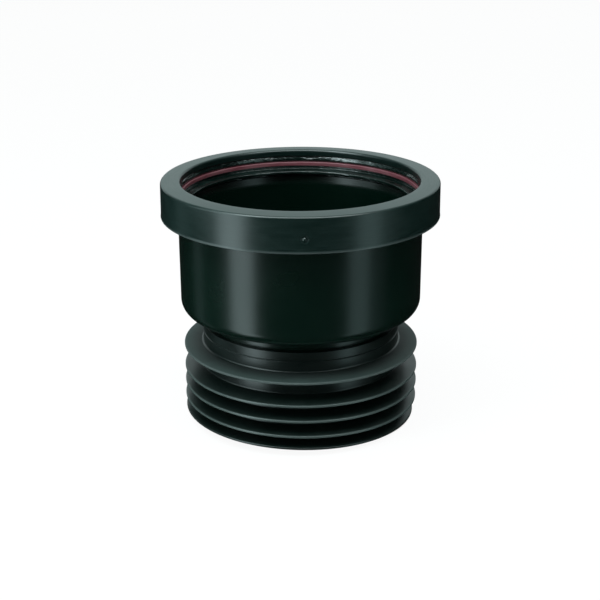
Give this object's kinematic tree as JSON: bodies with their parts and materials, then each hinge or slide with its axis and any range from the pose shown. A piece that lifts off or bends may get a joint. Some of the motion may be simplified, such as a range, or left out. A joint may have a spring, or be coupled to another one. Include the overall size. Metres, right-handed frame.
{
  "type": "drain connector",
  "caption": "Push-fit drain connector: a collared pipe socket with a lip seal above a narrower spigot that wears a finned rubber sleeve.",
  "frame": {"origin": "centre of the spigot end, on the surface that the connector stands on", "axes": "+Z along the pipe axis, from the finned spigot up to the socket mouth; the gate mark on the collar faces -Y"},
  "size_m": [0.1356, 0.1356, 0.1208],
  "materials": {
    "black_polypropylene": "satin",
    "seal_rubber": "glossy",
    "fin_rubber": "satin",
    "red_plastic": "satin"
  },
  "bodies": {
    "root": {"socket_body": "black_polypropylene", "retaining_collar": "black_polypropylene", "ring_seal": "seal_rubber", "seal_support_ring": "red_plastic", "finned_seal": "fin_rubber"}
  },
  "joints": []
}
